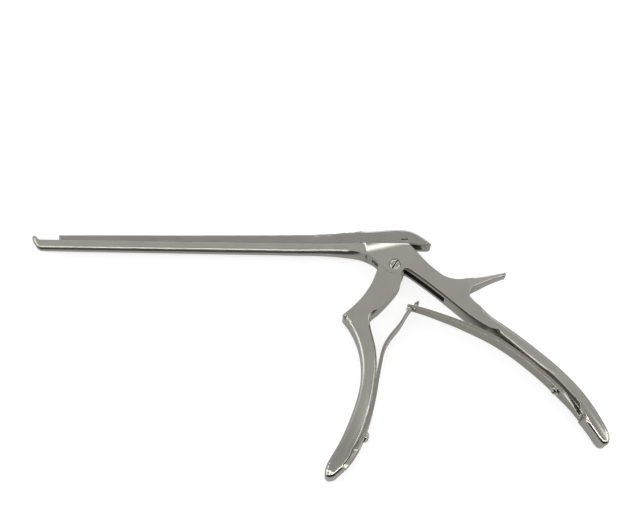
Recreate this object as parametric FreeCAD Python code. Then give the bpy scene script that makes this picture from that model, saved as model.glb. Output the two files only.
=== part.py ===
import FreeCAD, Part
import math
import os

V = FreeCAD.Vector
os.makedirs("parts", exist_ok=True)

# Bone rongeur of the laminectomy punch kind: a slide runs on a long shaft and bites
# against the shaft's upturned foot. It lies on its side: -X is the jaw, +Y is the slide's
# side, +Z is up, and the origin is the main pivot's axis on the resting face.
# All sizes are in millimetres.

# Driving sizes of the forged body
BODY_T = 10.8
SPLIT_Y = 12.1
BOSS_R = 5.1
CHEEK_SLOT_W = 5.0
LAND_X = -186.2
SHAFT_END_X = -14.5
TIP_HALF_W = 2.25
TIP_FLANK_Y = 8.75
TIP_BOTTOM_Y = 6.5
SHAFT_TAPER = 0.6
FLARE_START_X = -60.0
FLARE_POWER = 3.0
FOOT_RISE = 2.8
FOOT_DISH = (3.7, 3.1, 0.95)

# Driving sizes of the slide
NOSE_X = -176.05
SLIDE_TIP_H = 2.8
TAIL_W = 10.0
TAIL_END_X = 19.2
TAIL_WALL = 2.0
TAIL_ROOF = 1.7
TAIL_END_WALL = 1.9
TAIL_CORNER_R = 3.0
SLIDE_BEVEL = 0.75
NOSE_BORE_R = 1.05
NOSE_BORE_DEPTH = 3.0
SLIDE_TAIL_X = -17.0

# Slide guide: a T-rail under the slide in a T-slot of the shaft
RAIL_NECK_W = 1.4
RAIL_HEAD_W = 2.6
RAIL_NECK_H = 1.0
RAIL_HEAD_H = 0.85
RAIL_REAR_X = -15.0
SLOT_RAMP = 1.0

# Moving range: the slide runs from the open jaw to just short of the foot
JAW_GAP_CLOSED = 0.15
DRIVE_X = 5.3
DRIVE_Y = 14.5

# Screws
PIVOT_R = 2.0
PIVOT_HEAD_R = 2.8
PIVOT_HEAD_H = 1.2
PIVOT_SKIN = 0.9
DRIVE_R = 1.3
DRIVE_HEAD_R = 1.7
DRIVE_HEAD_H = 0.8
LEAF_SCREW_R = 1.5
LEAF_SCREW_HEAD_R = 2.6
LEAF_SCREW_HEAD_H = 1.6
LEAF_SCREW_LENGTH = 5.2
DRIVER_SLOT_W = 0.6
DRIVER_SLOT_DEPTH = 0.45

# Leaf springs
LEAF_BASE_T = 1.9
LEAF_TIP_T = 1.1
LEAF_BASE_W = 8.8
LEAF_TIP_W = 6.4
LEAF_NECK_W = 2.4
LEAF_END_W = 3.6
LEAF_END_TAPER = 8.0
LEAF_NECK = (-23.3, -20.3)
FORK_SLOT_W = 3.2
FORK_ROOT_X = 10.6

# Middle lines of the leaf springs, from the butt to the tip
REAR_LEAF_LINE = [
    (88.6, -78.0),
    (87.0, -74.75),
    (83.5, -69.9),
    (76.4, -61.45),
    (69.05, -54.2),
    (61.6, -47.6),
    (53.8, -41.7),
    (46.0, -36.8),
    (38.0, -32.9),
    (28.3, -28.7),
    (20.4, -25.8),
    (12.4, -23.0),
    (8.8, -22.0),
    (6.1, -21.6),
]
FRONT_LEAF_LINE = [
    (-25.2, -103.6),
    (-22.0, -99.5),
    (-18.75, -94.0),
    (-15.1, -85.5),
    (-12.5, -76.8),
    (-10.1, -65.05),
    (-9.1, -58.95),
    (-7.85, -52.4),
    (-6.45, -45.95),
    (-3.55, -39.6),
    (3.6, -29.85),
    (8.6, -21.9),
    (12.0, -19.5),
]
REAR_LEAF_FREE_X = 44.0
FRONT_LEAF_FREE_Y = -57.0
REAR_SCREW_AT = (78.0, -63.4)
FRONT_SCREW_AT = (-16.3, -88.3)

# Lever of the front handle
LEVER_HALF_W = 3.4
LEVER_TIP_R = 16.7

# Bevels along the forged edges
GRIP_BEVEL = 1.95
REAR_BED_BEVEL = 1.6
FRONT_BED_BEVEL = 1.2
EDGE_BEVEL = 0.8
GRIND_STOCK = 0.4

# Spur of the rear handle: full thickness at its root, thin at its tip
SPUR_ROOT_X = 37.0
SPUR_TIP_X = 57.6
SPUR_TIP_T = 4.2

# Lines that the grips are ground to, down the outer side, round the butt and up the inner
REAR_GRIP_LINE = [
    (46.4, -25.8),
    (52.1, -30.3),
    (67.1, -42.2),
    (81.5, -55.6),
    (91.8, -68.6),
    (98.0, -80.3),
    (99.8, -88.6),
    (98.55, -90.77),
    (96.05, -90.77),
    (95.13, -89.85),
    (92.3, -85.1),
    (87.7, -78.1),
]
FRONT_GRIP_LINE = [
    (-25.0, -31.2),
    (-21.4, -37.1),
    (-17.6, -49.7),
    (-17.6, -62.1),
    (-22.5, -80.3),
    (-30.6, -97.4),
    (-34.2, -105.2),
    (-33.7, -108.6),
    (-30.6, -108.9),
    (-28.0, -107.0),
    (-24.6, -103.9),
]

# Clearances
RUN_GAP = 0.05
SLIDE_GAP = 0.05
RAIL_GAP = 0.1
TANG_GAP = 0.1
SHOULDER_GAP = 0.15
FORK_GAP = 0.25
SEAT_GAP = 0.02
LEAF_GAP = 0.08
LEAF_END_GAP = 0.3
SEAT_STOCK = 0.2

# Derived sizes
MID_Z = BODY_T / 2
TRAVEL = NOSE_X - LAND_X - JAW_GAP_CLOSED
HANDLE_RANGE = math.atan2(DRIVE_X, DRIVE_Y) + math.atan2(TRAVEL - DRIVE_X, DRIVE_Y)
LEVER_PIN_R = math.hypot(DRIVE_X, DRIVE_Y)


def line(a, b):
    return Part.makeLine(V(*a, 0), V(*b, 0))


def arc(a, via, b):
    return Part.Arc(V(*a, 0), V(*via, 0), V(*b, 0)).toShape()


def curve(points):
    spline = Part.BSplineCurve()
    spline.interpolate([V(*p, 0) for p in points])
    return spline.toShape()


def smooth_run(points):
    # tangent arcs, two to each span, along the smooth curve through the points
    spline = curve(points).Curve
    at = [spline.value(spline.parameter(V(*p, 0))) for p in points]
    along = [spline.tangent(spline.parameter(V(*p, 0)))[0] for p in points]
    arcs = []
    for i in range(len(points) - 1):
        span = at[i + 1] - at[i]
        both = along[i] + along[i + 1]
        spread = 2 * (1 - along[i].dot(along[i + 1]))
        reach = span.dot(both)
        if spread < 1e-9:
            d = span.dot(span) / (2 * reach)
        else:
            d = (math.sqrt(reach * reach + spread * span.dot(span)) - reach) / spread
        joint = (at[i] + along[i] * d + at[i + 1] - along[i + 1] * d) * 0.5
        arcs.append(tangent_arc(at[i], along[i], joint))
        arcs.append(tangent_arc(joint, joint - at[i] - along[i] * d, at[i + 1]))
    return arcs


def tangent_arc(start, along, end):
    # arc from start to end that sets off in the direction given
    chord = end - start
    unit = along.normalize() if along.Length else along
    side = unit - chord * (unit.dot(chord) / chord.dot(chord))
    if side.Length < 1e-7:
        return Part.makeLine(start, end)
    turn = chord.getAngle(unit)
    bulge = chord.Length / 2 * math.tan(turn / 2)
    middle = (start + end) * 0.5 + side.normalize() * bulge
    return Part.Arc(start, middle, end).toShape()


def prism(edges, z0, z1):
    face = Part.Face(Part.Wire(edges))
    face.translate(V(0, 0, z0))
    return face.extrude(V(0, 0, z1 - z0))


def polygon(points, z0, z1):
    edges = [line(a, b) for a, b in zip(points, points[1:] + points[:1])]
    return prism(edges, z0, z1)


def polar(radius, degrees):
    a = math.radians(degrees)
    return (radius * math.cos(a), radius * math.sin(a))


def leaf_side(points, shift, distances):
    # points of a line beside a leaf's middle line, at distances from its butt end
    wire = curve(points).Curve
    found = []
    for distance in distances:
        u = wire.parameterAtDistance(distance, wire.FirstParameter)
        at = wire.value(u)
        along = wire.tangent(u)[0]
        found.append((at.x + shift * along.y, at.y - shift * along.x))
    return found


def leaf_frame(points, near):
    # point of the middle line nearest to a place, and the normal to the line there
    wire = curve(points).Curve
    u = wire.parameter(V(*near, 0))
    at = wire.value(u)
    along = wire.tangent(u)[0]
    return V(at.x, at.y, MID_Z), V(along.y, -along.x, 0)


def cylinder_z(x, y, radius, z0, z1):
    return Part.makeCylinder(radius, z1 - z0, V(x, y, z0))


def block(x0, x1, y0, y1, half_z):
    return Part.makeBox(x1 - x0, y1 - y0, 2 * half_z, V(x0, y0, MID_Z - half_z))


# Shape of the shaft along its length


def half_width(x):
    # slow taper from the tip, then a flare into the cheeks
    taper = SHAFT_TAPER * (x - LAND_X) / (SHAFT_END_X - LAND_X)
    flare = max(0.0, (x - FLARE_START_X) / (SHAFT_END_X - FLARE_START_X))
    swell = MID_Z - TIP_HALF_W - SHAFT_TAPER
    return TIP_HALF_W + taper + swell * flare**FLARE_POWER


def dip(x, start, radius):
    # fall of a circular arc that leaves the level at start
    run = max(0.0, x - start)
    return radius - math.sqrt(radius * radius - run * run)


def flank_edge_y(x):
    rise = 0.45 * min(1.0, (x - LAND_X) / (FLARE_START_X - LAND_X))
    return TIP_FLANK_Y + rise - dip(x, -33.0, 47.0)


def bottom_y(x):
    return TIP_BOTTOM_Y - dip(x, -42.0, 180.0)


def d_section(inner, outer, half, flank_share):
    # flat inner side, two straight flanks and a round outer side
    low = tuple(i + flank_share * (o - i) for i, o in zip(inner, outer))
    near, far = MID_Z + half, MID_Z - half
    rim = Part.Arc(V(*low, near), V(*outer, MID_Z), V(*low, far)).toShape()
    return Part.Wire(
        [
            Part.makeLine(V(*inner, near), V(*low, near)),
            rim,
            Part.makeLine(V(*low, far), V(*inner, far)),
            Part.makeLine(V(*inner, far), V(*inner, near)),
        ]
    )


def shaft_section(x):
    flank = (SPLIT_Y - flank_edge_y(x)) / (SPLIT_Y - bottom_y(x))
    return d_section((x, SPLIT_Y), (x, bottom_y(x)), half_width(x), flank)


def shaft_bar():
    straight = [shaft_section(x) for x in (LAND_X + 2.0, FLARE_START_X)]
    stations = [FLARE_START_X, -48.0, -37.0, -28.0, -21.0, SHAFT_END_X]
    flared = [shaft_section(x) for x in stations]
    front = Part.makeLoft(straight, True, True)
    return front.fuse(Part.makeLoft(flared, True, False))


def foot():
    # the shaft's end turns up and narrows to an oval plate
    base = (LAND_X, SPLIT_Y)
    heel = [
        shaft_section(LAND_X + 2.0),
        d_section((LAND_X + 1.0, SPLIT_Y), (LAND_X + 0.1, 6.95), TIP_HALF_W, 0.6),
        d_section(base, (LAND_X - 2.1, 9.2), TIP_HALF_W, 0.55),
    ]
    rise = FOOT_RISE
    plate = [
        d_section(base, (LAND_X - 2.1, 9.2), TIP_HALF_W, 0.55),
        d_section((LAND_X - 0.5 * rise, SPLIT_Y + 0.5 * rise), (LAND_X - 3.6, 11.3), 2.12, 0.45),
        d_section((LAND_X - 0.85 * rise, SPLIT_Y + 0.85 * rise), (LAND_X - 4.4, 13.2), 1.6, 0.4),
        d_section((LAND_X - 1.1 * rise, SPLIT_Y + 1.03 * rise), (LAND_X - 4.5, 14.5), 0.85, 0.4),
    ]
    solid = Part.makeLoft(heel, True, False).fuse(Part.makeLoft(plate, True, False))
    return solid.cut(foot_dish())


def foot_dish():
    # oval hollow sunk in the sloping face of the foot
    length, width, depth = FOOT_DISH
    ball = Part.makeSphere(1.0)
    stretch = FreeCAD.Matrix()
    stretch.scale(length / 2, 2 * depth, width / 2)
    oval = ball.transformGeometry(stretch)
    oval.rotate(V(0, 0, 0), V(0, 0, 1), -45)
    middle = 0.56 * FOOT_RISE
    lift = depth / math.sqrt(2)
    oval.translate(V(LAND_X - middle + lift, SPLIT_Y + middle + lift, MID_Z))
    return oval


# The body's outline seen from the side


def cheek_lower_outline(extra):
    # underside of the cheeks round the pivot boss, from the crotch to the shaft
    r = BOSS_R + extra
    start = polar(r, -21.4)
    join = polar(r, -110)
    stop = (-7.9 - 0.6 * extra, 0.1 - 0.8 * extra)
    return [
        arc(start, polar(r, -60), join),
        arc(join, (-5.5 - 0.7 * extra, -2.95 - 0.7 * extra), stop),
    ]


def frame_plate():
    corner = (7.1, SPLIT_Y)
    spur_top = (55.4, -2.6)
    spur_low = (56.4, -4.5)
    bed = leaf_side(REAR_LEAF_LINE, LEAF_BASE_T / 2 - SEAT_STOCK, [4, 12, 20, 30])
    bed_start = (47.6, -33.9)
    bed_step = (44.6, -33.3)
    crotch = (5.7, -2.0)
    throat = [(-7.9, 0.1), (-9.3, 2.1), (-11.6, 3.9), (SHAFT_END_X, 5.4)]
    stock = beside(REAR_GRIP_LINE, -GRIND_STOCK)
    top = smooth_run(
        [corner, (12.0, 6.7), (17.2, 0.7), (21.2, -3.0), (25.4, -6.1), (31.0, -7.6), (37.4, -7.0), (46.5, -5.0), spur_top]
    )
    spur_end = arc(spur_top, (57.3, -3.3), spur_low)
    under = [spur_low, (49.0, -7.3), (41.6, -10.9), (37.9, -13.4), (37.4, -15.8), (39.2, -19.1), *stock]
    bed_line = smooth_run([*bed, (55.0, -40.2), bed_start])
    inner = smooth_run([bed_step, (35.0, -26.3), (27.1, -19.3), (18.4, -11.8), crotch])
    edges = [
        line((SHAFT_END_X, SPLIT_Y), corner),
        *top,
        spur_end,
        *smooth_run(under),
        line(stock[-1], bed[0]),
        *bed_line,
        line(bed_start, bed_step),
        *inner,
        line(crotch, polar(BOSS_R, -21.4)),
        *cheek_lower_outline(0.0),
        curve(throat),
        line(throat[-1], (SHAFT_END_X, SPLIT_Y)),
    ]
    plate = prism(edges, 0.0, BODY_T)
    plate = bevel_rims(plate, bed_line, REAR_BED_BEVEL)
    plate = bevel_rims(plate, inner, EDGE_BEVEL)
    before = [(75.0, -10.0), (56.0, -16.0), (47.0, -20.0), (44.8, -23.2)]
    after = [(80.2, -68.0), (72.0, -61.5), (56.0, -57.0)]
    ground = ground_blank(before + REAR_GRIP_LINE + after, [(-40.0, -57.0), (-40.0, 40.0), (75.0, 40.0)])
    return plate.common(ground).common(spur_taper())


def spur_taper():
    # blank whose two faces close in along the spur
    t = (BODY_T - SPUR_TIP_T) / 2
    near = [(-40.0, BODY_T), (SPUR_ROOT_X, BODY_T), (SPUR_TIP_X, BODY_T - t)]
    far = [(SPUR_TIP_X, t), (SPUR_ROOT_X, 0.0), (-40.0, 0.0)]
    loop = [V(x, -18.0, z) for x, z in near + far]
    wedge = Part.Face(Part.makePolygon(loop + loop[:1])).extrude(V(0, 60, 0))
    return wedge.fuse(Part.makeBox(160.0, 100.0, BODY_T, V(-40.0, -118.0, 0.0)))


def ground_blank(line_points, corners):
    # blank that is bevelled along the line that a grip is ground to
    path = smooth_run(line_points)
    loop = [line_points[-1], *corners, line_points[0]]
    sides = [line(p, q) for p, q in zip(loop, loop[1:])]
    return bevel_rims(prism(path + sides, 0.0, BODY_T), path, GRIP_BEVEL)


def beside(points, shift):
    # the points, moved sideways off the smooth line through them
    wire = curve(points).Curve
    moved = []
    for p in points:
        along = wire.tangent(wire.parameter(V(*p, 0)))[0]
        moved.append((p[0] + shift * along.y, p[1] - shift * along.x))
    return moved


def bevel_rims(plate, outline, size):
    # bevel both rims of a plate along the named stretches of its outline
    middles = [e.valueAt((e.FirstParameter + e.LastParameter) / 2) for e in outline]
    rims = []
    for e in plate.Edges:
        if e.BoundBox.ZLength > 0.001:
            continue
        at = e.valueAt((e.FirstParameter + e.LastParameter) / 2)
        if any(math.hypot(at.x - m.x, at.y - m.y) < 0.01 for m in middles):
            rims.append(e)
    return plate.makeChamfer(size, rims)


def leaf_bed(points, side):
    # room for a leaf's thickness, cut down to its seat
    length = curve(points).Curve.length()
    distances = [length * i / 12 for i in range(8)]
    reach = side * (LEAF_BASE_T / 2 + LEAF_GAP)
    seat = leaf_side(points, reach, distances)
    far = leaf_side(points, -3 * reach, distances)
    end, far_end = leaf_side(points, reach, [-LEAF_END_GAP]) + leaf_side(points, -3 * reach, [-LEAF_END_GAP])
    edges = [
        line(end, seat[0]),
        *smooth_run(seat),
        line(seat[-1], far[-1]),
        line(far[-1], far[2]),
        line(far[2], far_end),
        line(far_end, end),
    ]
    return prism(edges, -1.0, BODY_T + 1.0)


def lever_slot():
    # room between the cheeks for the tang, the lever's swing and the springs' joint
    half = CHEEK_SLOT_W / 2
    z0, z1 = MID_Z - half, MID_Z + half
    eye = cylinder_z(0, 0, BOSS_R + 0.35, z0, z1)
    front = math.pi / 2 + HANDLE_RANGE - math.atan2(DRIVE_X, DRIVE_Y)
    back = math.pi / 2 - math.atan2(DRIVE_X, DRIVE_Y)
    side = LEVER_HALF_W + 0.4
    reach = 1.3 * SPLIT_Y
    a = (-side * math.sin(front), side * math.cos(front))
    d = (side * math.sin(back), -side * math.cos(back))
    b = (a[0] + reach * math.cos(front), a[1] + reach * math.sin(front))
    c = (d[0] + reach * math.cos(back), d[1] + reach * math.sin(back))
    wedge = polygon([(0, -1), a, b, c, d], z0, z1)
    channel = polygon([(2, -6), (3.5, 3.5), (27.5, -13.0), (23.0, -21.0)], z0, z1)
    return eye.fuse([wedge, channel])


def t_slot():
    neck_half = RAIL_NECK_W / 2 + RAIL_GAP
    head_half = RAIL_HEAD_W / 2 + RAIL_GAP
    front = rail_front_x() - TRAVEL - RAIL_GAP
    rear = -5.0
    head_top = SPLIT_Y - RAIL_NECK_H + RAIL_GAP
    floor = head_top - RAIL_HEAD_H - 2 * RAIL_GAP
    neck = block(front, rear, floor, SPLIT_Y + 1.0, neck_half)
    head = block(front, rear, floor, head_top, head_half)
    ramp = polygon(
        [(front - SLOT_RAMP, SPLIT_Y), (front, floor), (front + 0.2, floor), (front + 0.2, SPLIT_Y)],
        MID_Z - neck_half,
        MID_Z + neck_half,
    )
    return neck.fuse([head, ramp])


def rail_front_x():
    return LAND_X + SLOT_RAMP + 1.0 + RAIL_GAP + TRAVEL


def pivot_bore():
    # the far cheek keeps a skin over the screw's end
    return cylinder_z(0, 0, PIVOT_R + RUN_GAP, PIVOT_SKIN, BODY_T + 1)


def leaf_screw_hole(points, near, side):
    # blind hole that runs into the handle under the leaf
    at, normal = leaf_frame(points, near)
    into = normal * side
    depth = LEAF_SCREW_LENGTH - LEAF_BASE_T / 2 + 0.3
    return Part.makeCylinder(LEAF_SCREW_R + RUN_GAP, depth, at, into)


def base_frame():
    body = frame_plate().fuse([shaft_bar(), foot()]).removeSplitter()
    head_seat = cylinder_z(0, 0, PIVOT_HEAD_R + 0.1, BODY_T - PIVOT_HEAD_H, BODY_T + 1)
    body = body.cut([lever_slot(), t_slot(), pivot_bore(), head_seat, leaf_bed(REAR_LEAF_LINE, 1)])
    return body.cut(leaf_screw_hole(REAR_LEAF_LINE, REAR_SCREW_AT, 1))


# Slide


def slide_half_width(x):
    return min(half_width(x), TAIL_W / 2)


def slide_top_y(x):
    rise = (x - NOSE_X) / (FLARE_START_X - NOSE_X)
    level = SPLIT_Y + SLIDE_TIP_H + 2.1 * rise
    return level + 0.00065 * max(0.0, x - FLARE_START_X) ** 2


def top_bevel(half):
    return SLIDE_BEVEL + 0.1 * (half - TIP_HALF_W)


def slide_section(x):
    # flat underside, straight flanks and bevelled upper corners
    half = slide_half_width(x)
    top = slide_top_y(x)
    low = SPLIT_Y + SLIDE_GAP
    c = top_bevel(half)
    side = [(low, half), (top - c, half), (top, half - c)]
    loop = [V(x, y, MID_Z + z) for y, z in side + [(y, -z) for y, z in side[::-1]]]
    return Part.makePolygon(loop + loop[:1])


def slide_bar():
    front = Part.makeLoft([slide_section(NOSE_X - 2.0), slide_section(FLARE_START_X)], True, True)
    stations = [FLARE_START_X, -48.0, -37.0, -27.0, SLIDE_TAIL_X]
    flared = Part.makeLoft([slide_section(x) for x in stations], True, False)
    return front.fuse(flared)


def slide_tail():
    # the block behind the shaft, its top falls to the rear
    low = SPLIT_Y + SLIDE_GAP
    x0 = SLIDE_TAIL_X
    heel = (TAIL_END_X, low)
    top = smooth_run([(x0, slide_top_y(x0)), (-3.2, 19.9), (2.8, 20.2), (8.4, 19.5), (13.6, 16.9), heel])
    half = TAIL_W / 2
    body = prism([line((x0, low), (x0, slide_top_y(x0))), *top, line(heel, (x0, low))], MID_Z - half, MID_Z + half)
    return bevel_rims(body, top, top_bevel(half))


def tail_pocket():
    # hollow that the lever's end works in, open underneath
    x0 = -1.2
    x1 = TAIL_END_X - TAIL_END_WALL
    roof = [(x0, 17.0), (0.4, 17.6), (8.6, 17.4), (12.4, 15.6), (x1, SPLIT_Y - 0.5)]
    half = TAIL_W / 2 - TAIL_WALL
    return polygon([(x0, SPLIT_Y - 0.5)] + roof, MID_Z - half, MID_Z + half)


def nose_cut():
    # round the nose in plan and lean it a little forward
    half = TIP_HALF_W + 0.6
    y0 = SPLIT_Y - 0.5
    x = NOSE_X
    back = x + 2.6
    ahead = x - 4.0
    front = Part.Arc(V(back, y0, MID_Z + half), V(x, y0, MID_Z), V(back, y0, MID_Z - half)).toShape()
    corners = [
        V(back, y0, MID_Z - half),
        V(ahead, y0, MID_Z - half),
        V(ahead, y0, MID_Z + half),
        V(back, y0, MID_Z + half),
    ]
    wire = Part.Wire([front] + [Part.makeLine(a, b) for a, b in zip(corners, corners[1:])])
    return Part.Face(wire).extrude(V(-0.22 * 4, 4, 0))


def slide_rail():
    low = SPLIT_Y - RAIL_NECK_H
    front = rail_front_x()
    neck = block(front, RAIL_REAR_X, low - 0.1, SPLIT_Y + SLIDE_GAP + 0.2, RAIL_NECK_W / 2)
    head = block(front, RAIL_REAR_X, low - RAIL_HEAD_H, low, RAIL_HEAD_W / 2)
    return neck.fuse(head)


def slide():
    body = slide_bar().fuse(slide_tail()).removeSplitter()
    body = body.cut([nose_cut(), tail_pocket()])
    bore = Part.makeCylinder(NOSE_BORE_R, NOSE_BORE_DEPTH + 2, V(NOSE_X - 2, SPLIT_Y + 1.35, MID_Z), V(1, 0, 0))
    screw_hole = cylinder_z(DRIVE_X, DRIVE_Y, DRIVE_R + SEAT_GAP, -1, BODY_T + 1)
    face_z = MID_Z + TAIL_W / 2
    seat = cylinder_z(DRIVE_X, DRIVE_Y, DRIVE_HEAD_R + RUN_GAP, face_z - DRIVE_HEAD_H, face_z + 1)
    body = body.fuse(slide_rail()).removeSplitter()
    return body.cut([bore, screw_hole, seat])


# Front handle with its lever


def handle_plate():
    seat = leaf_side(FRONT_LEAF_LINE, SEAT_STOCK - LEAF_BASE_T / 2, [4, 12, 21, 32, 43])
    gap = SHOULDER_GAP
    relief = polar(BOSS_R + gap, -60)
    shoulder_join = polar(BOSS_R + gap, -110)
    shoulder_end = (-7.9 - 0.6 * gap, 0.1 - 0.8 * gap)
    stock = beside(FRONT_GRIP_LINE, GRIND_STOCK)
    kink = (-26.7, -28.2)
    front = smooth_run([shoulder_end, (-9.4, -3.9), (-11.0, -8.4), (-14.5, -15.1), (-19.6, -21.7), kink])
    seat_line = smooth_run([*seat, (-9.75, -53.1), (-10.5, -43.8), (-12.4, -35.5), (-13.0, -31.0)])
    knee = arc((-13.0, -31.0), (-12.6, -28.9), (-10.9, -26.9))
    inner = smooth_run([(-10.9, -26.9), (-8.2, -24.2), (-0.3, -15.2), (3.1, -8.9), relief])
    edges = [
        arc(relief, polar(BOSS_R + gap, -85), shoulder_join),
        cheek_lower_outline(gap)[1],
        *front,
        *smooth_run([kink, *stock]),
        line(stock[-1], seat[0]),
        *seat_line,
        knee,
        *inner,
    ]
    plate = prism(edges, 0.0, BODY_T)
    plate = bevel_rims(plate, seat_line, FRONT_BED_BEVEL)
    before = [(-60.0, -24.0), (-34.0, -26.0), (-28.2, -28.0)]
    after = [(-17.4, -94.0), (-8.0, -84.0), (10.0, -76.0)]
    ground = ground_blank(before + FRONT_GRIP_LINE + after, [(60.0, -76.0), (60.0, 40.0), (-60.0, 40.0)])
    return plate.common(ground)


def tang():
    # thin eye and lever that run between the cheeks
    half = CHEEK_SLOT_W / 2 - TANG_GAP
    z0, z1 = MID_Z - half, MID_Z + half
    eye = cylinder_z(0, 0, BOSS_R - 0.1, z0, z1)
    root = polygon([(-1.2, -2), (-1.2, -8.5), (3.0, -8.5), (4.7, -4.6), (4.7, -1.3)], z0, z1)
    side = LEVER_HALF_W
    arm = polygon([(side, -1), (side, 20), (-side, 20), (-side, -1)], z0, z1)
    arm = arm.common(cylinder_z(0, 0, LEVER_TIP_R, z0, z1))
    fork_half = DRIVE_R + FORK_GAP
    fork_low = LEVER_PIN_R - 1.2
    fork = polygon(
        [(-fork_half, fork_low), (fork_half, fork_low), (fork_half, 20), (-fork_half, 20)], z0 - 1, z1 + 1
    )
    fork = fork.fuse(cylinder_z(0, fork_low, fork_half, z0 - 1, z1 + 1))
    arm = arm.cut(fork)
    arm.rotate(V(0, 0, 0), V(0, 0, 1), -math.degrees(math.atan2(DRIVE_X, DRIVE_Y)))
    return eye.fuse([root, arm])


def front_handle():
    body = handle_plate().fuse(tang()).removeSplitter()
    body = body.cut([pivot_bore(), leaf_bed(FRONT_LEAF_LINE, -1)])
    return body.cut(leaf_screw_hole(FRONT_LEAF_LINE, FRONT_SCREW_AT, -1))


# Leaf springs


def leaf_blade(points, free_from):
    # a strip along the middle line, thick where it is seated and thin at its tip
    wire = curve(points).Curve
    length = wire.length()
    steps = 12
    left, right = [], []
    for i in range(steps + 1):
        u = wire.parameterAtDistance(length * i / steps, wire.FirstParameter)
        at = wire.value(u)
        along = wire.tangent(u)[0]
        thin = max(0.0, (length * i / steps - free_from) / (length - free_from))
        t = (LEAF_BASE_T + (LEAF_TIP_T - LEAF_BASE_T) * thin) / 2
        left.append((at.x + t * along.y, at.y - t * along.x))
        right.append((at.x - t * along.y, at.y + t * along.x))
    edges = smooth_run(left) + [line(left[-1], right[-1])] + smooth_run(right[::-1]) + [line(right[0], left[0])]
    return prism(edges, -1.0, BODY_T + 1.0)


def leaf_screw_clearance(points, near):
    at, normal = leaf_frame(points, near)
    return Part.makeCylinder(LEAF_SCREW_R + 0.1, 6.0, at - normal * 3.0, normal)


def rear_leaf_spring():
    base, tip, end = LEAF_BASE_W / 2, LEAF_TIP_W / 2, LEAF_END_W / 2
    end_x = REAR_LEAF_LINE[0][0]
    side = [(end_x + 2, end), (end_x - 1, end + 0.5), (end_x - LEAF_END_TAPER, base), (REAR_LEAF_FREE_X, base), (5, tip)]
    plan = side + [(x, -z) for x, z in side[::-1]]
    loop = [V(x, -85, MID_Z + z) for x, z in plan]
    limit = Part.Face(Part.makePolygon(loop + loop[:1])).extrude(V(0, 70, 0))
    body = leaf_blade(REAR_LEAF_LINE, 62.0).common(limit)
    slot = block(0, FORK_ROOT_X, -30, -15, FORK_SLOT_W / 2)
    return body.cut([slot, leaf_screw_clearance(REAR_LEAF_LINE, REAR_SCREW_AT)])


def front_leaf_spring():
    base, tip, neck, end = LEAF_BASE_W / 2, LEAF_TIP_W / 2, LEAF_NECK_W / 2, LEAF_END_W / 2
    low, high = LEAF_NECK
    end_y = FRONT_LEAF_LINE[0][1]
    side = [(end_y - 2, end), (end_y + 1, end + 0.5), (end_y + LEAF_END_TAPER, base), (FRONT_LEAF_FREE_Y, base)]
    side += [(low, tip), (low, neck), (high, neck), (high, tip), (-18, tip)]
    plan = side + [(y, -z) for y, z in side[::-1]]
    loop = [V(-30, y, MID_Z + z) for y, z in plan]
    limit = Part.Face(Part.makePolygon(loop + loop[:1])).extrude(V(50, 0, 0))
    body = leaf_blade(FRONT_LEAF_LINE, 50.0).common(limit)
    return body.cut(leaf_screw_clearance(FRONT_LEAF_LINE, FRONT_SCREW_AT))


# Screws


def driver_slot(radius, height, turn):
    slot = Part.makeBox(2 * radius + 1, DRIVER_SLOT_W, DRIVER_SLOT_DEPTH + 1)
    slot.translate(V(-radius - 0.5, -DRIVER_SLOT_W / 2, height - DRIVER_SLOT_DEPTH))
    slot.rotate(V(0, 0, 0), V(0, 0, 1), turn)
    return slot


def pivot_screw():
    top = BODY_T - 0.05
    shank = cylinder_z(0, 0, PIVOT_R, PIVOT_SKIN + 0.2, top - 0.5)
    head = cylinder_z(0, 0, PIVOT_HEAD_R, BODY_T - PIVOT_HEAD_H + SEAT_GAP, top)
    return shank.fuse(head).removeSplitter().cut(driver_slot(PIVOT_HEAD_R, top, 57))


def drive_screw():
    top = MID_Z + TAIL_W / 2 - 0.05
    shank = cylinder_z(0, 0, DRIVE_R, MID_Z - TAIL_W / 2 + 0.15, top - 0.3)
    head = cylinder_z(0, 0, DRIVE_HEAD_R, MID_Z + TAIL_W / 2 - DRIVE_HEAD_H + SEAT_GAP, top)
    body = shank.fuse(head).removeSplitter().cut(driver_slot(DRIVE_HEAD_R, top, 0))
    body.translate(V(DRIVE_X, DRIVE_Y, 0))
    return body


def leaf_screw(points, near, side):
    # domed slotted head on the leaf, shank through it into the handle
    at, normal = leaf_frame(points, near)
    out = normal * -side
    h = LEAF_SCREW_HEAD_H
    r = LEAF_SCREW_HEAD_R
    profile = [(0, -LEAF_SCREW_LENGTH), (LEAF_SCREW_R, -LEAF_SCREW_LENGTH), (LEAF_SCREW_R, 0), (r, 0)]
    profile += [(r, 0.35 * h), (0.55 * r, h), (0, h)]
    loop = [V(x, 0, z) for x, z in profile]
    body = Part.Face(Part.makePolygon(loop + loop[:1])).revolve(V(0, 0, 0), V(0, 0, 1), 360)
    body = body.cut(driver_slot(r, h + 0.15, 20))
    face = LEAF_BASE_T / 2 + LEAF_GAP
    turn = FreeCAD.Rotation(V(0, 0, 1), out)
    body.Placement = FreeCAD.Placement(at + out * face, turn)
    return body


def rear_spring_screw():
    return leaf_screw(REAR_LEAF_LINE, REAR_SCREW_AT, 1)


def front_spring_screw():
    return leaf_screw(FRONT_LEAF_LINE, FRONT_SCREW_AT, -1)


PIECES = {
    "base_frame": base_frame,
    "slide": slide,
    "front_handle": front_handle,
    "pivot_screw": pivot_screw,
    "drive_screw": drive_screw,
    "front_leaf_spring": front_leaf_spring,
    "rear_leaf_spring": rear_leaf_spring,
    "front_spring_screw": front_spring_screw,
    "rear_spring_screw": rear_spring_screw,
}

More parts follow.
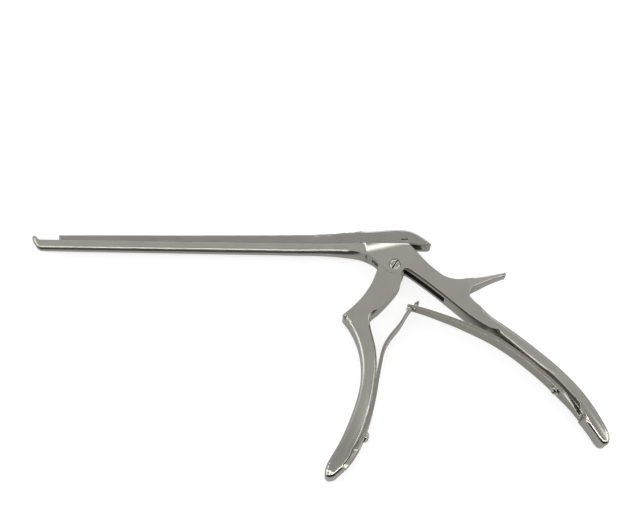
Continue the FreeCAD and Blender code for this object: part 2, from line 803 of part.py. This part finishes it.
for name, maker in PIECES.items():
    shape = maker()
    if len(shape.Solids) == 1:
        shape = shape.Solids[0]
    print(name, shape.isValid(), len(shape.Solids), round(shape.Volume, 1), shape.BoundBox)
    shape.exportStep(f"parts/{name}.step")
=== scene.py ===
import math

import bmesh
import bpy
from mathutils import Matrix, Vector
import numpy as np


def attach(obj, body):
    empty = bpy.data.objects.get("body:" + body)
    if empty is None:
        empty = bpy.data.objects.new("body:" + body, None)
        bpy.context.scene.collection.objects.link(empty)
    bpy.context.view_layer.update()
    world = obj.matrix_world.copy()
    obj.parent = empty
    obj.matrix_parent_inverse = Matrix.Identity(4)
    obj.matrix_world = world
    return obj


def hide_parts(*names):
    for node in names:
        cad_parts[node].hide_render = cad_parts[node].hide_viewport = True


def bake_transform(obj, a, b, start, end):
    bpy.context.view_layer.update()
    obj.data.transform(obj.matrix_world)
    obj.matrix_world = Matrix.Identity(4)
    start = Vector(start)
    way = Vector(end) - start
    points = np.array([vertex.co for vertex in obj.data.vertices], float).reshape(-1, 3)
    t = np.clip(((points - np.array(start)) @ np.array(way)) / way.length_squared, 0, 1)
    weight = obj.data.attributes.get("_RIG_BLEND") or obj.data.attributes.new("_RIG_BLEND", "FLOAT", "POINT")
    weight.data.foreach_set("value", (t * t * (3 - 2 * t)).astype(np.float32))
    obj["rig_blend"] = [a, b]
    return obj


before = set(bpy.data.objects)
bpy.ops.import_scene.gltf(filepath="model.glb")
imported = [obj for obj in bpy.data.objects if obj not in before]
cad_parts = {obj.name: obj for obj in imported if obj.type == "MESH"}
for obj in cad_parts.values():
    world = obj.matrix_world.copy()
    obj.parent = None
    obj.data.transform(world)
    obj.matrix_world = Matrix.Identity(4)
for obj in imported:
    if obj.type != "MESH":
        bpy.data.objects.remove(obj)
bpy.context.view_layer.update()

# The camera looks down on the instrument from the handles' side, 25 degrees off the upright.
# Its distance and lens are those at which the pivot, the jaw and both butts fall where they
# do in the picture.
MM = 0.001
BODY_THICKNESS = 10.8 * MM
CAMERA_TILT = math.radians(25.0)
CAMERA_ROLL = math.radians(1.1)
CAMERA_FROM_PIVOT = Vector((-38.55, 4.11, 450.0)) * MM
LENS_MM = 49.25
SENSOR_MM = 36.0

scene = bpy.context.scene
scene.view_settings.view_transform = "Standard"
camera_data = bpy.data.cameras.new("camera")
camera_data.lens = LENS_MM
camera_data.sensor_width = SENSOR_MM
camera_data.clip_start = 0.01
camera = bpy.data.objects.new("camera", camera_data)
scene.collection.objects.link(camera)
pivot_top = Vector((0.0, 0.0, BODY_THICKNESS))
camera_turn = Matrix.Rotation(CAMERA_ROLL, 4, "Z") @ Matrix.Rotation(CAMERA_TILT, 4, "X")
camera.matrix_world = Matrix.Translation(pivot_top + camera_turn @ CAMERA_FROM_PIVOT) @ camera_turn
scene.camera = camera

# The floor is a plain white sheet that the instrument lies on. Seen directly or in the
# steel it has a light of its own, so that it comes out white and still keeps the shadow.
FLOOR_HALF = 3.0
FLOOR_BELOW = 0.02 * MM
FLOOR_WHITE = (0.36, 0.36, 0.36, 1.0)
FLOOR_GLOW = 0.78
GLOW_IN_STEEL = 0.35


def add_node(tree, kind, inputs, **settings):
    """Add a node. inputs maps its sockets to values, or to the outputs that feed them."""
    node = tree.nodes.new(kind)
    for name, setting in settings.items():
        setattr(node, name, setting)
    for socket, value in inputs.items():
        if isinstance(value, bpy.types.NodeSocket):
            tree.links.new(value, node.inputs[socket])
        else:
            node.inputs[socket].default_value = value
    return node


def white_paper():
    """Matte paper with a glow that only the camera and the steel see."""
    paper = bpy.data.materials.new("white_paper")
    paper.use_nodes = True
    tree = paper.node_tree
    tree.nodes.clear()
    ray = add_node(tree, "ShaderNodeLightPath", {}).outputs
    seen = add_node(
        tree,
        "ShaderNodeMath",
        {0: ray["Is Glossy Ray"], 1: GLOW_IN_STEEL, 2: ray["Is Camera Ray"]},
        operation="MULTIPLY_ADD",
    )
    gain = add_node(tree, "ShaderNodeMath", {0: seen.outputs[0], 1: FLOOR_GLOW}, operation="MULTIPLY")
    glow = add_node(tree, "ShaderNodeEmission", {"Strength": gain.outputs[0]})
    matte = add_node(tree, "ShaderNodeBsdfDiffuse", {"Color": FLOOR_WHITE})
    both = add_node(tree, "ShaderNodeAddShader", {0: matte.outputs[0], 1: glow.outputs[0]})
    add_node(tree, "ShaderNodeOutputMaterial", {"Surface": both.outputs[0]})
    return paper


floor_mesh = bpy.data.meshes.new("floor")
sheet = bmesh.new()
bmesh.ops.create_grid(sheet, x_segments=1, y_segments=1, size=FLOOR_HALF)
sheet.to_mesh(floor_mesh)
sheet.free()
floor_mesh.materials.append(white_paper())
floor = bpy.data.objects.new("floor", floor_mesh)
floor.location.z = -FLOOR_BELOW
scene.collection.objects.link(floor)

# Studio light: a grey room that gets darker behind the camera, a long soft box behind the
# slide, one on each side of the instrument and a narrow one overhead. The narrow one and
# the dark side draw the bright and the dark line along the near edges of the steel.
ROOM_BACK = 0.44
ROOM_FRONT = 0.03
ROOM_FADE = (-0.55, 0.35)
AIM = Vector((-0.04, 0.0, 0.0))

room = bpy.data.worlds.new("room")
room.use_nodes = True
room_way = add_node(room.node_tree, "ShaderNodeTexCoord", {})
room_axes = add_node(room.node_tree, "ShaderNodeSeparateXYZ", {0: room_way.outputs["Generated"]})
room_fade = add_node(
    room.node_tree,
    "ShaderNodeMapRange",
    {
        "Value": room_axes.outputs["Y"],
        "From Min": ROOM_FADE[0],
        "From Max": ROOM_FADE[1],
        "To Min": ROOM_FRONT,
        "To Max": ROOM_BACK,
    },
    interpolation_type="SMOOTHSTEP",
)
room.node_tree.links.new(room_fade.outputs[0], room.node_tree.nodes["Background"].inputs["Color"])
scene.world = room


def soft_box(name, place, width, height, watts):
    """A lamp of that size in metres, turned toward the middle of the instrument."""
    lamp = bpy.data.lights.new(name, "AREA")
    lamp.shape = "RECTANGLE"
    lamp.size = width
    lamp.size_y = height
    lamp.energy = watts
    holder = bpy.data.objects.new(name, lamp)
    turn = (AIM - Vector(place)).to_track_quat("-Z", "Y")
    holder.matrix_world = Matrix.Translation(place) @ turn.to_matrix().to_4x4()
    scene.collection.objects.link(holder)


soft_box("back_box", (-0.05, 1.25, 0.75), width=1.6, height=0.7, watts=9.0)
soft_box("left_box", (-1.3, 0.1, 0.8), width=0.9, height=1.2, watts=6.0)
soft_box("right_box", (1.25, 0.0, 0.8), width=0.9, height=1.2, watts=6.0)
soft_box("top_box", (-0.05, -0.30, 1.15), width=1.8, height=0.22, watts=5.0)

# The fixed half is one forging of stainless steel: lower shaft, upturned foot, cheeks and
# rear handle with its spur. It is ground lengthways and brushed satin, and eased by hand:
# the grip's bevels are worn into full rounds, the other edges are only broken.

# Lengths that are given without MM are in mm, as the zones are.
MID_Z = 5.4
CHEEK_START_X = -14.5
CHEEK_REACH = 0.5
SPAN_SLACK = 0.006
FORGED_STEEL = (0.52, 0.498, 0.447)
HOLLOW_SHADE_STEEL = (0.10, 0.095, 0.085)
SATIN_ROUGHNESS = 0.33
BUFFED_ROUGHNESS = 0.2
BUFFED_FROM_BUTT = (8.0 * MM, 34.0 * MM)
LINE_STRETCH = (90.0, 6500.0, 6500.0)
LINE_DEPTH = 0.02 * MM
LINE_SHARE = 0.45
LINE_ROUGHNESS = 0.06
CLOUD_SCALE = 70.0
CLOUD_ROUGHNESS = 0.03
SHADE = (0.93, 1.05)
STRIP_SLOPE = (0.69, 0.725)
RAISED_SLOPE = (0.6, 0.8)
LEVEL_SLACK = 0.02 * MM
WIDTH_SLACK = 0.05 * MM
CUT_SNAP = 0.004 * MM
ARC_STEPS = 6
ARC_ENDS = 0.02
CRISP_ANGLE = math.radians(28.0)
SOFT_ANGLE = 0.6
EDGE_BROKEN = 0.14 * MM
SHORTEST_BROKEN = 1.5 * EDGE_BROKEN


def ground_finish_group():
    """Fine lines left by the belt, running one way, over the soft clouding of hand polishing."""
    group = bpy.data.node_groups.new("ground_finish", "ShaderNodeTree")
    for name, direction, kind in (
        ("Vector", "INPUT", "NodeSocketVector"),
        ("Line Strength", "INPUT", "NodeSocketFloat"),
        ("Roughness", "INPUT", "NodeSocketFloat"),
        ("Steel", "INPUT", "NodeSocketColor"),
        ("Color", "OUTPUT", "NodeSocketColor"),
        ("Roughness", "OUTPUT", "NodeSocketFloat"),
        ("Normal", "OUTPUT", "NodeSocketVector"),
    ):
        group.interface.new_socket(name=name, in_out=direction, socket_type=kind)
    given = add_node(group, "NodeGroupInput", {}).outputs

    def noise(place, scale, detail):
        return add_node(
            group, "ShaderNodeTexNoise", {"Vector": place, "Scale": scale, "Detail": detail}
        ).outputs["Fac"]

    def calculated(operation, *values):
        inputs = dict(enumerate(values))
        return add_node(group, "ShaderNodeMath", inputs, operation=operation).outputs[0]

    def ranged(value, low, high):
        return add_node(
            group, "ShaderNodeMapRange", {"Value": value, "To Min": low, "To Max": high}
        ).outputs[0]

    stretched = add_node(
        group, "ShaderNodeVectorMath", {0: given["Vector"], 1: LINE_STRETCH}, operation="MULTIPLY"
    )
    lines = noise(stretched.outputs[0], 1.0, 3.0)
    clouds = noise(given["Vector"], CLOUD_SCALE, 4.0)
    # roughness: the given value, a little up and down with the clouds and the lines
    cloudy = calculated("ADD", given["Roughness"], ranged(clouds, -CLOUD_ROUGHNESS, CLOUD_ROUGHNESS))
    roughness = calculated("ADD", cloudy, ranged(lines, -LINE_ROUGHNESS, LINE_ROUGHNESS))
    # colour: darker in the grooves and where the polish is thin
    cloud_part = calculated("MULTIPLY", clouds, 1.0 - LINE_SHARE)
    shade = ranged(calculated("MULTIPLY_ADD", lines, LINE_SHARE, cloud_part), *SHADE)
    color = add_node(
        group, "ShaderNodeVectorMath", {0: given["Steel"], "Scale": shade}, operation="SCALE"
    )
    grooves = add_node(
        group,
        "ShaderNodeBump",
        {"Strength": given["Line Strength"], "Distance": LINE_DEPTH, "Height": lines},
    )
    results = {"Color": color.outputs[0], "Roughness": roughness, "Normal": grooves.outputs[0]}
    add_node(group, "NodeGroupOutput", results)
    return group


ground_finish = ground_finish_group()


def steel(name, color, roughness, grain_angle=0.0, line_strength=0.25):
    """Steel ground along a direction in the plane of the handles."""
    material = bpy.data.materials.new(name)
    material.use_nodes = True
    tree = material.node_tree
    place = add_node(tree, "ShaderNodeTexCoord", {})
    grain = (0.0, 0.0, math.radians(-grain_angle))
    turned = add_node(
        tree, "ShaderNodeMapping", {"Vector": place.outputs["Object"], "Rotation": grain}
    )
    finish = add_node(
        tree,
        "ShaderNodeGroup",
        {
            "Vector": turned.outputs[0],
            "Line Strength": line_strength,
            "Roughness": roughness,
            "Steel": (*color, 1.0),
        },
        node_tree=ground_finish,
    )
    shader = tree.nodes["Principled BSDF"].inputs
    shader["Metallic"].default_value = 1.0
    tree.links.new(finish.outputs["Color"], shader["Base Color"])
    tree.links.new(finish.outputs["Roughness"], shader["Roughness"])
    tree.links.new(finish.outputs["Normal"], shader["Normal"])
    return material


# Painted shade: near-black steel for the faces inside the milled slots, standing for the shade in those
# hollows.
hollow_shade_steel = steel("painted_hollow_shade", HOLLOW_SHADE_STEEL, roughness=0.5, grain_angle=30.0)


def forged_steel(name, grain_angle, butt):
    """Satin steel that is buffed brighter toward the butt of its grip, a place in mm."""
    material = steel(name, FORGED_STEEL, SATIN_ROUGHNESS, grain_angle)
    tree = material.node_tree
    place = tree.nodes["Texture Coordinate"].outputs["Object"]
    away = add_node(
        tree, "ShaderNodeVectorMath", {0: place, 1: Vector(butt) * MM}, operation="DISTANCE"
    )
    fade = add_node(
        tree,
        "ShaderNodeMapRange",
        {
            "Value": away.outputs["Value"],
            "From Min": BUFFED_FROM_BUTT[0],
            "From Max": BUFFED_FROM_BUTT[1],
            "To Min": BUFFED_ROUGHNESS,
            "To Max": SATIN_ROUGHNESS,
        },
        interpolation_type="SMOOTHSTEP",
    )
    finish = next(node for node in tree.nodes if node.type == "GROUP")
    tree.links.new(fade.outputs[0], finish.inputs["Roughness"])
    return material


def zone(x_from=-1000.0, x_to=1000.0, y_from=-1000.0, y_to=1000.0, half_width=1000.0):
    """A test that says whether a corner lies in a box centred on the middle plane, in mm."""

    def holds(corner):
        at = corner.co / MM
        return x_from < at.x < x_to and y_from < at.y < y_to and abs(at.z - MID_Z) < half_width

    return holds


def merged_copy(node, name, weld=0.002, flat=0.3):
    """The node's mesh under a new name, and a bmesh of it with flats and corners in one piece."""
    mesh = bpy.data.objects[node].data.copy()
    mesh.name = name
    work = bmesh.new()
    work.from_mesh(mesh)
    bmesh.ops.remove_doubles(work, verts=work.verts, dist=weld * MM)
    bmesh.ops.dissolve_limit(
        work, angle_limit=math.radians(flat), verts=work.verts, edges=work.edges
    )
    return mesh, work


def round_off(work, edges, offset, segments=5, clamp=False):
    bmesh.ops.bevel(
        work,
        geom=edges,
        offset=offset,
        segments=segments,
        profile=0.5,
        affect="EDGES",
        material=-1,
        clamp_overlap=clamp,
    )


def on_strip(face):
    """Whether the face is part of a 45 degree bevel."""
    return STRIP_SLOPE[0] < abs(face.normal.z) < STRIP_SLOPE[1]


def join_split_strips(work):
    """Make one strip again of each bevel that the mesh has in two rows."""
    inner = []
    for edge in work.edges:
        level = abs(edge.verts[0].co.z - edge.verts[1].co.z) < LEVEL_SLACK
        if level and len(edge.link_faces) == 2 and all(on_strip(f) for f in edge.link_faces):
            inner.append(edge)
    bmesh.ops.dissolve_edges(work, edges=inner, use_verts=True)


def cut_strips(work, least):
    """Cut each bevel over least mm into rows, and note on its faces where it starts and ends."""
    low = work.faces.layers.float.new("strip_low")
    high = work.faces.layers.float.new("strip_high")
    spans = set()
    for face in work.faces:
        levels = [v.co.z for v in face.verts]
        if on_strip(face) and max(levels) - min(levels) > least * MM:
            face[low], face[high] = min(levels), max(levels)
            spans.add((round(face[low] / MM, 2), round(face[high] / MM, 2)))
    for bottom, top in sorted(spans):
        for step in range(1, ARC_STEPS):
            angle = math.radians(90.0 * step / ARC_STEPS)
            share = (1.0 + math.sin(angle) - math.cos(angle)) / 2.0
            strips = []
            for face in work.faces:
                same_bottom = abs(face[low] / MM - bottom) < SPAN_SLACK
                same_top = abs(face[high] / MM - top) < SPAN_SLACK
                if face[high] > 0.0 and same_bottom and same_top:
                    strips.append(face)
            edges = {e for f in strips for e in f.edges}
            corners = {v for f in strips for v in f.verts}
            bmesh.ops.bisect_plane(
                work,
                geom=list(corners) + list(edges) + strips,
                plane_co=(0.0, 0.0, (bottom + (top - bottom) * share) * MM),
                plane_no=(0.0, 0.0, 1.0),
                dist=CUT_SNAP,
            )
    work.normal_update()


def raise_strips(work):
    """Raise the rows of each cut bevel to the arc that touches both its edges."""
    low = work.faces.layers.float["strip_low"]
    high = work.faces.layers.float["strip_high"]
    raised = []
    for corner in work.verts:
        strips = [f for f in corner.link_faces if f[high] > 0.0]
        if not strips:
            continue
        face = strips[0]
        size = face[high] - face[low]
        if any(abs(f[high] - f[low] - size) > WIDTH_SLACK for f in strips):
            continue
        share = (corner.co.z - face[low]) / size
        if ARC_ENDS < share < 1.0 - ARC_ENDS:
            turn = math.pi / 4 + math.asin((2.0 * share - 1.0) / math.sqrt(2.0))
            rise = (share - 1.0 + math.cos(turn)) * size * math.sqrt(2.0)
            normal = sum((f.normal * f.calc_area() for f in strips), Vector()).normalized()
            if on_strip(face) and RAISED_SLOPE[0] < abs(normal.z) < RAISED_SLOPE[1]:
                raised.append((corner, normal * rise))
    for corner, shift in raised:
        corner.co += shift


def mark_crisp_edges(work):
    """Give a bevel weight to the crisp edges that there is room to break."""
    high = work.faces.layers.float["strip_high"]
    weight = work.edges.layers.float.new("bevel_weight_edge")
    for edge in work.edges:
        crisp = edge.is_manifold and edge.calc_face_angle(0.0) > CRISP_ANGLE
        at_cheek = any(abs(v.co.x / MM - CHEEK_START_X) < CHEEK_REACH for v in edge.verts)
        on_round = any(f[high] > 0.0 for v in edge.verts for f in v.link_faces)
        if crisp and not at_cheek and not on_round and edge.calc_length() > SHORTEST_BROKEN:
            edge[weight] = 1.0


def finished(name, mesh, work, materials):
    """The object that the worked mesh becomes, at the origin, with its materials."""
    mesh.materials.clear()
    for material in materials:
        mesh.materials.append(material)
    work.to_mesh(mesh)
    work.free()
    piece = bpy.data.objects.new(name, mesh)
    scene.collection.objects.link(piece)
    return piece


def break_edges(piece, method, width):
    broken = piece.modifiers.new("broken_edges", "BEVEL")
    broken.limit_method = method
    broken.width = width
    broken.segments = 2
    broken.use_clamp_overlap = False
    return broken


def keep_flats_flat(piece):
    flats = piece.modifiers.new("flats_stay_flat", "WEIGHTED_NORMAL")
    flats.mode = "FACE_AREA"
    flats.weight = 80
    return flats


def worn(name, node, body, material, shaded_hollow, least_round, grip=None, soft=None, soft_round=0.0):
    """The piece with its bevels worn round and its edges broken, in place of its plain solid.

    The zones, in the order given, are a slot, whose faces get a painted shade for that hollow,
    a grip, whose faces the belt leaves slightly crowned, and a place whose edges are rounded by soft_round.
    """
    mesh, work = merged_copy(node, name)
    join_split_strips(work)
    cut_strips(work, least_round)
    raise_strips(work)
    if soft:
        sharp = [e for e in work.edges if e.calc_face_angle(0.0) > SOFT_ANGLE]
        round_off(work, [e for e in sharp if all(soft(v) for v in e.verts)], soft_round * MM)
    # Faces inside the slot zone take the painted shade of that hollow.
    for face in work.faces:
        face.material_index = 1 if all(shaded_hollow(v) for v in face.verts) else 0
        face.smooth = True
    mark_crisp_edges(work)
    piece = finished(name, mesh, work, [material, hollow_shade_steel])
    flat_places = piece.vertex_groups.new(name="flat_places")
    flat_corners = [v.index for v in mesh.vertices if not (grip and grip(v))]
    flat_places.add(flat_corners, 1.0, "REPLACE")
    break_edges(piece, "WEIGHT", EDGE_BROKEN).loop_slide = False
    keep_flats_flat(piece).vertex_group = flat_places.name
    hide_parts(node)
    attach(piece, body)


worn(
    "forged_frame",
    "base_frame",
    "frame",
    forged_steel("frame_steel", -20.0, butt=(97.0, -88.0, MID_Z)),
    shaded_hollow=zone(x_from=-12.0, x_to=36.0, y_to=12.5, half_width=2.56),
    least_round=1.5,
    grip=zone(x_from=60.0),
    soft=zone(x_from=40.0, x_to=56.6, y_from=-15.5),
    soft_round=0.75,
)

# The slide is milled from stainless bar with a rounded back and ground along its length.
# The T-rail under it runs in the fixed shaft, and its hollow tail covers the lever.
# Its steel is painted a shade darker than the forgings' for the darker reflection of its side face; its
# slightly cooler grey is its own.
SHADED_SLIDE_STEEL = (0.44, 0.42, 0.39)

shaded_slide_steel = steel("shaded_slide_steel", SHADED_SLIDE_STEEL, roughness=0.30)
worn(
    "slide_bar",
    "slide",
    "slide",
    shaded_slide_steel,
    shaded_hollow=zone(x_from=6.0, x_to=17.5, y_to=13.9, half_width=4.1),
    least_round=0.9,
)

# The front handle is the second forging, ground down its grip. It turns between the cheeks
# on the pivot screw, and its upper end is the forked lever that drives the slide.
worn(
    "forged_handle",
    "front_handle",
    "front_handle",
    forged_steel("front_handle_steel", 80.0, butt=(-32.0, -107.0, MID_Z)),
    shaded_hollow=zone(y_from=6.0, half_width=2.0),
    least_round=1.5,
    grip=zone(y_to=-38.0),
)

# Slotted screws, turned from stainless bar and polished: the pivot, the screw that drives
# the slide, and the two domed ones that hold the springs. Their slots are sawn, and painted dark as shade.
SCREW_STEEL = (0.66, 0.64, 0.60)
SLOT_SHADE_STEEL = (0.03, 0.028, 0.026)
SLOT_HALF = 0.32 * MM
SLOT_DEPTH = 0.6 * MM
RIM_BELOW_TOP = 0.02 * MM
RIM_ANGLE = 0.4
RIM_BROKEN = 0.05 * MM
UP = (0.0, 0.0, 1.0)

polished_steel = steel("polished_screw_steel", SCREW_STEEL, roughness=0.17, line_strength=0.1)
# Painted shade: near-black steel on the faces down in the slots, standing for the shade there.
slot_shade_steel = steel("painted_slot_shade", SLOT_SHADE_STEEL, roughness=0.5, line_strength=0.5)


def slotted_screw(name, node, body, top, out, slot, rim_round, finish=polished_steel):
    """The screw with painted shade in its slot and its rim rounded.

    top is the middle of the head, out the way it faces and slot the way the slot runs.
    """
    top, out, slot = Vector(top) * MM, Vector(out), Vector(slot)
    across = out.cross(slot).normalized()
    mesh, work = merged_copy(node, name)
    # Faces down in the slot take the painted shade.
    for face in work.faces:
        places = [v.co - top for v in face.verts]
        in_slot = all(abs(at.dot(across)) < SLOT_HALF and at.dot(out) > -SLOT_DEPTH for at in places)
        face.material_index = 1 if in_slot else 0
    rim = []
    for edge in work.edges:
        level = all((v.co - top).dot(out) > -RIM_BELOW_TOP for v in edge.verts)
        outside = all(abs((v.co - top).dot(across)) > SLOT_HALF for v in edge.verts)
        if level and outside and edge.calc_face_angle(0.0) > RIM_ANGLE:
            rim.append(edge)
    round_off(work, rim, rim_round * MM)
    for face in work.faces:
        face.smooth = True
    piece = finished(name, mesh, work, [finish, slot_shade_steel])
    break_edges(piece, "ANGLE", RIM_BROKEN).angle_limit = math.radians(40.0)
    keep_flats_flat(piece)
    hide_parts(node)
    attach(piece, body)


slotted_screw(
    "pivot_turned",
    "pivot_screw",
    "frame",
    top=(0.0, 0.0, 10.75),
    out=UP,
    slot=(0.545, 0.839, 0.0),
    rim_round=0.8,
)
# The drive screw's head has the slide's steel, with the same painted shade, so that only its slot is dark.
slotted_screw(
    "drive_turned",
    "drive_screw",
    "slide",
    top=(5.3, 14.5, 10.35),
    out=UP,
    slot=(1.0, 0.0, 0.0),
    rim_round=0.1,
    finish=shaded_slide_steel,
)
slotted_screw(
    "front_spring_turned",
    "front_spring_screw",
    "front_handle",
    top=(-13.737, -89.33, MID_Z),
    out=(0.9279, -0.3727, 0.0),
    slot=(0.2488, 0.6195, -0.7445),
    rim_round=0.5,
)
slotted_screw(
    "rear_spring_turned",
    "rear_spring_screw",
    "frame",
    top=(76.106, -65.057, MID_Z),
    out=(-0.7526, -0.6585, 0.0),
    slot=(0.238, -0.272, 0.9324),
    rim_round=0.5,
)

# The leaf springs are hardened strip, screwed to the handles at their lower ends. The
# rear one ends in a fork, the front one in a T that hooks through it. Each is one strip
# that bends from the point where it leaves its handle to its tip.
SPRING_STEEL = (0.46, 0.437, 0.385)
STRIP_CUTS = 48
STRIP_CUT_SNAP = 0.0005 * MM
STRIP_EDGE_BROKEN = 0.12 * MM
STRIP_EDGE_ANGLE = math.radians(40.0)
STRIP_SMOOTH_ANGLE = math.radians(20.0)
FRONT_BEND = (Vector((-9.0, -57.0, MID_Z)) * MM, Vector((7.0, -24.5, MID_Z)) * MM)
REAR_BEND = (Vector((42.5, -34.5, MID_Z)) * MM, Vector((12.0, -23.0, MID_Z)) * MM)

spring_steel = steel("spring_steel", SPRING_STEEL, roughness=0.26, line_strength=0.12)


def spring_strip(name, node, parent_body, body, bend):
    """The spring's strip, cut across so that it can bend, with its edges broken."""
    mesh, strip = merged_copy(node, name, weld=0.001, flat=0.4)
    sharp = [e for e in strip.edges if e.calc_face_angle(0.0) > STRIP_EDGE_ANGLE]
    round_off(strip, sharp, STRIP_EDGE_BROKEN, segments=2, clamp=True)
    start, end = bend
    along = (end - start).normalized()
    span = (end - start).length
    for i in range(STRIP_CUTS + 1):
        bmesh.ops.bisect_plane(
            strip,
            geom=strip.verts[:] + strip.edges[:] + strip.faces[:],
            plane_co=start + along * span * i / STRIP_CUTS,
            plane_no=along,
            dist=STRIP_CUT_SNAP,
        )
    for edge in strip.edges:
        edge.smooth = edge.calc_face_angle(0.0) < STRIP_SMOOTH_ANGLE
    for face in strip.faces:
        face.smooth = True
    piece = finished(name, mesh, strip, [spring_steel])
    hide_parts(node)
    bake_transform(piece, parent_body, body, start=tuple(start), end=tuple(end))


spring_strip("front_spring_strip", "front_leaf_spring", "front_handle", "front_spring", FRONT_BEND)
spring_strip("rear_spring_strip", "rear_leaf_spring", "frame", "rear_spring", REAR_BEND)
